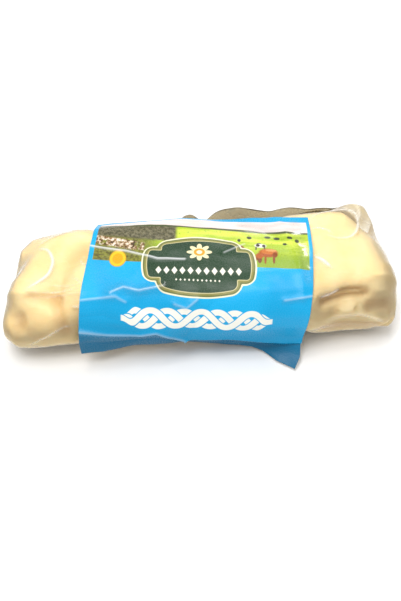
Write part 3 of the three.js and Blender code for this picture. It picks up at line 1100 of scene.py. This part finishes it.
    for cx, cy, rx, ry, tint in (
        (76.2, 17.5, 1.2, 0.9, "#2e3a1c"), (85.0, 16.6, 1.5, 0.8, "#33401e"),
        (89.4, 17.2, 1.5, 0.9, "#2e3a1c"), (95.6, 16.8, 1.3, 0.8, "#2e3a1c"),
        (98.9, 18.4, 1.0, 1.1, "#33401e"), (71.3, 19.8, 0.8, 1.0, "#2e3a1c"),
        (80.8, 21.4, 1.1, 0.7, "#2e3a1c"), (93.0, 21.0, 1.0, 0.8, "#33401e"),
        (71.5, 25.4, 2.4, 1.9, "#8a4a24"), (69.6, 27.6, 0.4, 1.3, "#5a3018"),
        (73.0, 27.6, 0.4, 1.3, "#5a3018"), (81.4, 22.8, 2.8, 1.5, "#ece6da"),
        (80.2, 22.6, 0.9, 1.1, "#3a3630"), (83.0, 22.9, 0.8, 1.0, "#3a3630"),
        (79.4, 24.8, 0.35, 1.2, "#3a3630"), (83.4, 24.8, 0.35, 1.2, "#3a3630"),
        (81.4, 31.6, 1.0, 2.4, "#7a3c14"), (84.0, 31.4, 0.55, 2.9, "#9a4e1a"),
        (88.0, 31.0, 0.6, 3.0, "#8a4416"), (85.2, 27.4, 4.5, 2.7, "#a8521e"),
        (85.4, 26.6, 3.8, 1.6, "#c8722c"), (81.2, 29.4, 1.9, 1.7, "#b05a20"),
        (79.4, 31.4, 1.2, 1.1, "#8a4416"), (79.0, 32.2, 0.6, 0.6, "#e0b890"),
        (86.4, 25.7, 2.4, 0.7, "#e09a54"), (88.4, 28.4, 1.2, 1.6, "#8a4416"),
    ):
        land = addNode(tree, "ShaderNodeMix", {
            0: ellipse(cx, cy, rx, ry),
            6: land,
            7: tint,
        }, data_type="RGBA").outputs[2]
    left, right, far = printLayout["border"]
    end, slope = printLayout["landscapeEnd"]
    endLine = addNode(tree, "ShaderNodeMath", {
        0: x,
        1: -slope / wide,
        2: y,
    }, operation="MULTIPLY_ADD").outputs[0]
    rim = addNode(tree, "ShaderNodeMath", {
        0: addNode(tree, "ShaderNodeAttribute", attribute_name="rim").outputs["Fac"],
        1: high,
    }, operation="MULTIPLY").outputs[0]
    strip = area((x, "above", left, 0.15), (x, "below", right, 0.15),
                 (rim, "above", far, 0.15), (endLine, "below", end, 0.15))
    blue = addNode(tree, "ShaderNodeMix", {
        0: addNode(tree, "ShaderNodeMapRange", {
            "Value": addNode(tree, "ShaderNodeTexNoise", {
                "Vector": spot,
                "Scale": 1 / 33.33,  # uneven ink
                "Detail": 2.0,
            }).outputs["Fac"],
            "From Min": 0.35,
            "From Max": 0.65,
        }, interpolation_type="SMOOTHSTEP").outputs[0],
        6: printLayout["blue"],
        7: "#17b0e8",
    }, data_type="RGBA").outputs[2]
    # Painted shade: the blue darkens softly over the sheet's lower third and more below its second ridge,
    # where the sheet turns under.
    lower = addNode(tree, "ShaderNodeMapRange", {
        "Value": addNode(tree, "ShaderNodeMath", {
            0: addNode(tree, "ShaderNodeTexNoise", {
                "Vector": spot,
                "Scale": 1 / 16.67,  # ragged edge of that painted shade
                "Detail": 2.0,
            }).outputs["Fac"],
            1: 7.0,
            2: y,
        }, operation="MULTIPLY_ADD").outputs[0],
        "From Min": 63.0,
        "From Max": 92.0,
        "To Min": 0.0,
        "To Max": 0.55,
    }, interpolation_type="SMOOTHSTEP").outputs[0]
    deep = addNode(tree, "ShaderNodeAttribute", attribute_name="deep").outputs["Fac"]
    lower = addNode(tree, "ShaderNodeMath", {
        0: deep,
        1: 0.42,
        2: lower,
    }, operation="MULTIPLY_ADD", use_clamp=True).outputs[0]
    blue = addNode(tree, "ShaderNodeMix", {0: lower, 6: blue, 7: "#066388"}, data_type="RGBA").outputs[2]
    colour = addNode(tree, "ShaderNodeMix", {0: strip, 6: blue, 7: land}, data_type="RGBA").outputs[2]

    # Round badge, left bare.
    bx, by, brx, bry = printLayout["badge"]
    colour = addNode(tree, "ShaderNodeMix", {
        0: ellipse(bx, by, brx, bry, 0, 0.05),
        6: colour,
        7: "#c79a1c",
    }, data_type="RGBA").outputs[2]
    colour = addNode(tree, "ShaderNodeMix", {
        0: ellipse(bx, by, brx * 0.9, bry * 0.9, 0, 0.06),
        6: colour,
        7: "#f4c62a",
    }, data_type="RGBA").outputs[2]
    colour = addNode(tree, "ShaderNodeMix", {
        0: ellipse(bx, by, brx * 0.62, bry * 0.62, 0, 0.1),
        6: colour,
        7: "#e9a81e",
    }, data_type="RGBA").outputs[2]

    # Plaque: cream outline, olive gold border, dark green field.
    px, py, pturn = printLayout["plaque"]
    plaque = addNode(tree, "ShaderNodeSeparateXYZ", {
        0: addNode(tree, "ShaderNodeMapping", {
            "Vector": spot,
            "Location": (px, py, 0),
            "Rotation": (0, 0, math.radians(pturn)),
        }, vector_type="TEXTURE").outputs[0],
    })
    ax = addNode(tree, "ShaderNodeMath", {0: plaque.outputs[0]}, operation="ABSOLUTE").outputs[0]
    ay = addNode(tree, "ShaderNodeMath", {0: plaque.outputs[1]}, operation="ABSOLUTE").outputs[0]
    arched = addNode(tree, "ShaderNodeMath", {
        0: addNode(tree, "ShaderNodeMath", {0: ax, 1: ax}, operation="MULTIPLY").outputs[0],
        1: 0.0075,
        2: ay,
    }, operation="MULTIPLY_ADD").outputs[0]
    bulged = addNode(tree, "ShaderNodeMath", {
        0: addNode(tree, "ShaderNodeMath", {0: ay, 1: ay}, operation="MULTIPLY").outputs[0],
        1: 0.018,
        2: ax,
    }, operation="MULTIPLY_ADD").outputs[0]
    tall = roundedBox(addNode(tree, "ShaderNodeCombineXYZ", {0: ax, 1: arched}).outputs[0], 20.4, 17.6, 5.0)
    broad = roundedBox(addNode(tree, "ShaderNodeCombineXYZ", {0: bulged, 1: ay}).outputs[0], 27.2, 10.8, 4.0)
    edge = addNode(tree, "ShaderNodeMath", {0: tall, 1: broad, 2: 1.2}, operation="SMOOTH_MIN").outputs[0]
    for limit, tint in (
        (0.0, "#f1ecc8"), (-0.75, "#6d7440"), (-1.5, "#8f8a4a"), (-2.4, "#d9cf9c"), (-2.75, "#27432b"),
    ):
        colour = addNode(tree, "ShaderNodeMix", {
            0: area((edge, "below", limit, 0.12)),
            6: colour,
            7: tint,
        }, data_type="RGBA").outputs[2]

    # A small rosette and rows of lozenges where the words would be.
    ex, ey = printLayout["emblem"]
    petal = addNode(tree, "ShaderNodeMapping", {
        "Vector": spot,
        "Location": (ex, ey, 0),
        "Rotation": (0, 0, math.radians(pturn)),
        "Scale": (1.12, 1.0, 1),
    }, vector_type="TEXTURE").outputs[0]
    split = addNode(tree, "ShaderNodeSeparateXYZ", {0: petal})
    radius = addNode(tree, "ShaderNodeVectorMath", {0: petal}, operation="LENGTH").outputs["Value"]
    around = addNode(tree, "ShaderNodeMath", {
        0: split.outputs[1],
        1: split.outputs[0],
    }, operation="ARCTAN2").outputs[0]
    lobes = addNode(tree, "ShaderNodeMath", {
        0: addNode(tree, "ShaderNodeMath", {
            0: addNode(tree, "ShaderNodeMath", {0: around, 1: 4.0}, operation="MULTIPLY").outputs[0],
        }, operation="COSINE").outputs[0],
    }, operation="ABSOLUTE").outputs[0]
    petals = addNode(tree, "ShaderNodeMath", {
        0: radius,
        1: addNode(tree, "ShaderNodeMath", {0: lobes, 1: 2.6, 2: 2.8}, operation="MULTIPLY_ADD").outputs[0],
    }, operation="SUBTRACT").outputs[0]
    colour = addNode(tree, "ShaderNodeMix", {
        0: area((petals, "below", 0.0, 0.15)),
        6: colour,
        7: "#efe6b8",
    }, data_type="RGBA").outputs[2]
    colour = addNode(tree, "ShaderNodeMix", {
        0: area((radius, "below", 2.4, 0.15)),
        6: colour,
        7: "#d8a02c",
    }, data_type="RGBA").outputs[2]
    colour = addNode(tree, "ShaderNodeMix", {
        0: area((radius, "below", 1.2, 0.15)),
        6: colour,
        7: "#f6efcf",
    }, data_type="RGBA").outputs[2]
    for cy, half, period, rx, ry in ((41.1, 20.625, 3.75, 1.4, 2.2), (46.2, 11.0, 2.0, 0.5, 0.6)):
        row = addNode(tree, "ShaderNodeSeparateXYZ", {
            0: addNode(tree, "ShaderNodeMapping", {
                "Vector": spot,
                "Location": (53.1, cy, 0),
                "Rotation": (0, 0, math.radians(pturn)),
            }, vector_type="TEXTURE").outputs[0],
        })
        wrapped = addNode(tree, "ShaderNodeMath", {
            0: row.outputs[0],
            1: period / 2,
            2: -period / 2,
        }, operation="WRAP").outputs[0]
        across = addNode(tree, "ShaderNodeMath", {
            0: addNode(tree, "ShaderNodeMath", {0: wrapped}, operation="ABSOLUTE").outputs[0],
            1: rx,
        }, operation="DIVIDE").outputs[0]
        upright = addNode(tree, "ShaderNodeMath", {
            0: addNode(tree, "ShaderNodeMath", {0: row.outputs[1]}, operation="ABSOLUTE").outputs[0],
            1: ry,
        }, operation="DIVIDE").outputs[0]
        lozenge = addNode(tree, "ShaderNodeMath", {0: across, 1: upright}, operation="ADD").outputs[0]
        fromMiddle = addNode(tree, "ShaderNodeMath", {0: row.outputs[0]}, operation="ABSOLUTE").outputs[0]
        colour = addNode(tree, "ShaderNodeMix", {
            0: area((lozenge, "below", 1.0, 0.12), (fromMiddle, "below", half, 0.1)),
            6: colour,
            7: "#f3efdc",
        }, data_type="RGBA").outputs[2]

    # The plait: three waves that cross in turn.
    tx, ty, tturn, half = printLayout["title"]
    waves = 2 * math.pi / printLayout["plaitPeriod"]
    outline, core = printLayout["strandHalfWidths"]
    plait = addNode(tree, "ShaderNodeSeparateXYZ", {
        0: addNode(tree, "ShaderNodeMapping", {
            "Vector": spot,
            "Location": (tx, ty, 0),
            "Rotation": (0, 0, math.radians(tturn)),
        }, vector_type="TEXTURE").outputs[0],
    })
    fromMiddle = addNode(tree, "ShaderNodeMath", {0: plait.outputs[0]}, operation="ABSOLUTE").outputs[0]
    swing = addNode(tree, "ShaderNodeMapRange", {
        "Value": fromMiddle,
        "From Min": half - 7.0,
        "From Max": half,
        "To Min": 4.4,
        "To Max": 0.0,
    }, interpolation_type="SMOOTHSTEP").outputs[0]
    for strand in range(3):
        phase = addNode(tree, "ShaderNodeMath", {
            0: plait.outputs[0],
            1: waves,
            2: strand * 2 * math.pi / 3,
        }, operation="MULTIPLY_ADD").outputs[0]
        wave = addNode(tree, "ShaderNodeMath", {
            0: addNode(tree, "ShaderNodeMath", {0: phase}, operation="SINE").outputs[0],
            1: swing,
        }, operation="MULTIPLY").outputs[0]
        steep = addNode(tree, "ShaderNodeMath", {
            0: addNode(tree, "ShaderNodeMath", {0: phase}, operation="COSINE").outputs[0],
            1: addNode(tree, "ShaderNodeMath", {
                0: swing,
                1: waves,
            }, operation="MULTIPLY").outputs[0],
        }, operation="MULTIPLY").outputs[0]
        stretch = addNode(tree, "ShaderNodeMath", {
            0: addNode(tree, "ShaderNodeMath", {
                0: steep,
                1: steep,
                2: 1.0,
            }, operation="MULTIPLY_ADD").outputs[0],
        }, operation="SQRT").outputs[0]
        away = addNode(tree, "ShaderNodeMath", {
            0: addNode(tree, "ShaderNodeMath", {
                0: addNode(tree, "ShaderNodeMath", {
                    0: plait.outputs[1],
                    1: wave,
                }, operation="SUBTRACT").outputs[0],
            }, operation="ABSOLUTE").outputs[0],
            1: stretch,
        }, operation="DIVIDE").outputs[0]
        colour = addNode(tree, "ShaderNodeMix", {
            0: area((away, "below", outline, 0.15), (fromMiddle, "below", half, 0.3)),
            6: colour,
            7: blue,
        }, data_type="RGBA").outputs[2]
        colour = addNode(tree, "ShaderNodeMix", {
            0: area((away, "below", core, 0.15), (fromMiddle, "below", half, 0.3)),
            6: colour,
            7: "#f7f5ea",
        }, data_type="RGBA").outputs[2]

    # Sharp creases are painted pale, partly as stress whitening and partly as painted highlight. The crumpled
    # patches differ only in bump and gloss.
    creaseWhiteAndHighlight = addNode(tree, "ShaderNodeAttribute", attribute_name="creaseWhiteAndHighlight").outputs["Fac"]
    crumpled = addNode(tree, "ShaderNodeAttribute", attribute_name="crumpled").outputs["Fac"]
    grain = addNode(tree, "ShaderNodeTexNoise", {
        "Vector": spot,
        "Scale": 1 / 0.625,  # the print's grain
        "Detail": 4.0,
        "Roughness": 0.7,
    }).outputs["Fac"]
    crinkle = addNode(tree, "ShaderNodeTexNoise", {
        "Vector": addNode(tree, "ShaderNodeMapping", {
            "Vector": spot,
            "Rotation": (0, 0, 0.5),
            "Scale": (0.3, 0.9, 1),
        }).outputs[0],
        "Scale": 1 / 1.111,  # crinkle spacing
        "Detail": 4.0,
        "Roughness": 0.6,
    }).outputs["Fac"]
    scuff = addNode(tree, "ShaderNodeMath", {
        0: crumpled,
        1: addNode(tree, "ShaderNodeMapRange", {
            "Value": addNode(tree, "ShaderNodeMath", {0: grain, 1: crinkle}, operation="ADD").outputs[0],
            "From Min": 0.75,
            "From Max": 1.2,
            "To Min": 0.25,
            "To Max": 1.0,
        }, interpolation_type="SMOOTHSTEP").outputs[0],
    }, operation="MULTIPLY", use_clamp=True).outputs[0]
    colour = addNode(tree, "ShaderNodeMix", {
        0: creaseWhiteAndHighlight,
        6: colour,
        7: "#fbfdfd",
    }, data_type="RGBA").outputs[2]
    rough = addNode(tree, "ShaderNodeMath", {
        0: addNode(tree, "ShaderNodeMath", {0: crinkle, 1: grain}, operation="ADD").outputs[0],
        1: addNode(tree, "ShaderNodeMath", {0: scuff, 1: 1.1, 2: 0.3}, operation="MULTIPLY_ADD").outputs[0],
    }, operation="MULTIPLY").outputs[0]
    bump = addNode(tree, "ShaderNodeBump", {"Height": rough, "Strength": 0.5, "Distance": 0.0006})
    shader = addNode(tree, "ShaderNodeBsdfPrincipled", {
        "Base Color": colour,
        "Specular IOR Level": 0.3,
        "Roughness": addNode(tree, "ShaderNodeMapRange", {
            "Value": grain,
            "From Min": 0.3,
            "From Max": 0.7,
            "To Min": 0.2,
            "To Max": 0.34,
        }, interpolation_type="SMOOTHSTEP").outputs[0],
        "Coat Weight": scuff,
        "Coat Roughness": 0.12,
        "Normal": bump.outputs[0],
    })
    addNode(tree, "ShaderNodeOutputMaterial", {"Surface": shader.outputs[0]})
    return material


def backMaterial():
    # The sheet's unprinted side: pale, with the faintest shadow of the print's blue.
    material, tree = newMaterial("labelBack")
    coords = addNode(tree, "ShaderNodeTexCoord").outputs["Object"]
    tone = addNode(tree, "ShaderNodeMix", {
        0: addNode(tree, "ShaderNodeMapRange", {
            "Value": addNode(tree, "ShaderNodeTexNoise", {
                "Vector": coords,
                "Scale": 1 / (14.29 * mm),  # mottle size
                "Detail": 3.0,
            }).outputs["Fac"],
            "From Min": 0.3,
            "From Max": 0.7,
        }, interpolation_type="SMOOTHSTEP").outputs[0],
        6: "#dde6ea",
        7: "#eef2f3",
    }, data_type="RGBA").outputs[2]
    shader = addNode(tree, "ShaderNodeBsdfPrincipled", {"Base Color": tone, "Roughness": 0.4})
    addNode(tree, "ShaderNodeOutputMaterial", {"Surface": shader.outputs[0]})
    return material


def floorMaterial():
    material, tree = newMaterial("paleTable")
    coords = addNode(tree, "ShaderNodeTexCoord").outputs["Object"]
    tone = addNode(tree, "ShaderNodeMix", {
        0: addNode(tree, "ShaderNodeMapRange", {
            "Value": addNode(tree, "ShaderNodeTexNoise", {
                "Vector": coords,
                "Scale": 1 / (33.33 * mm),  # mottle size
                "Detail": 3.0,
            }).outputs["Fac"],
            "From Min": 0.3,
            "From Max": 0.7,
        }, interpolation_type="SMOOTHSTEP").outputs[0],
        6: "#f4f4f4",
        7: "#f8f8f8",
    }, data_type="RGBA").outputs[2]
    shader = addNode(tree, "ShaderNodeBsdfPrincipled", {"Base Color": tone, "Roughness": 0.85})
    addNode(tree, "ShaderNodeOutputMaterial", {"Surface": shader.outputs[0]})
    return material


studio = {
    "distance": 345,
    "elevation": 50,
    "roll": 2.6,
    "angle": 47.1,
    "drop": 10.2,
    "roomLight": 0.6,
    "lamps": (  # name, place and size in metres, power in watts
        ("keyLight", (-0.13, -0.14, 0.75), 0.36, 3.0),
        ("fillLight", (0.35, 0.3, 0.65), 0.7, 1.0),
        ("glintLight", (-0.076, 0.075, 0.72), 0.09, 0.5),
        ("backLight", (0.16, 0.68, 0.72), 0.16, 1.5),
    ),
}


def buildStudio():
    bm = bmesh.new()
    bmesh.ops.create_grid(bm, x_segments=1, y_segments=1, size=3)
    floor = objectFrom(bm, "floor", floorMaterial())

    world = bpy.data.worlds.new("softRoom")
    bpy.context.scene.world = world
    world.use_nodes = True
    world.node_tree.nodes["Background"].inputs["Color"].default_value = linearColour("#ffffff")
    world.node_tree.nodes["Background"].inputs["Strength"].default_value = studio["roomLight"]

    for name, place, size, power in studio["lamps"]:
        lamp = bpy.data.lights.new(name, "AREA")
        lamp.size = size
        lamp.energy = power
        holder = bpy.data.objects.new(name, lamp)
        holder.location = place
        holder.rotation_euler = (-Vector(place)).to_track_quat("-Z", "Y").to_euler()
        bpy.context.collection.objects.link(holder)

    camera = bpy.data.cameras.new("camera")
    camera.angle = math.radians(studio["angle"])
    camera.clip_start = 0.01
    rise = math.radians(studio["elevation"])
    away = Vector((0, -math.cos(rise), math.sin(rise)))
    up = Vector((0, math.sin(rise), math.cos(rise)))
    target = Vector(middle) - up * studio["drop"]
    turned = (-away).to_track_quat("-Z", "Y").to_matrix().to_4x4()
    roll = Matrix.Rotation(math.radians(-studio["roll"]), 4, "Z")
    holder = bpy.data.objects.new("camera", camera)
    holder.matrix_world = Matrix.Translation((target + away * studio["distance"]) * mm) @ turned @ roll
    bpy.context.collection.objects.link(holder)
    bpy.context.scene.camera = holder
    bpy.context.scene.view_settings.view_transform = "Standard"


print("studio")
buildStudio()

print("cheese")
cheese = buildCheese(cheeseMaterial())
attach(cheese, "root")
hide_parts("pouch")

print("film")
firstSkin = measureSkin(cheese)
taut = tautSkin(firstSkin)
rise, white = foldSkin(taut)
pressCheese(cheese, taut, rise)
pressed = measureSkin(cheese)
skin = tautSkin(pressed, drawOutCorners(pressed))
skin += np.where(rise > 0, rise, 0.15 * rise)
pouchFilm = buildFilm(skin, white, filmMaterial())
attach(pouchFilm, "root")
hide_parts("pouch")
pouchSeam = buildSeam(skin, seamMaterial())
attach(pouchSeam, "root")
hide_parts("pouch")

print("label")
sheet = buildLabel(skin, printMaterial(), backMaterial())
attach(sheet, "root")
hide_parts("label")
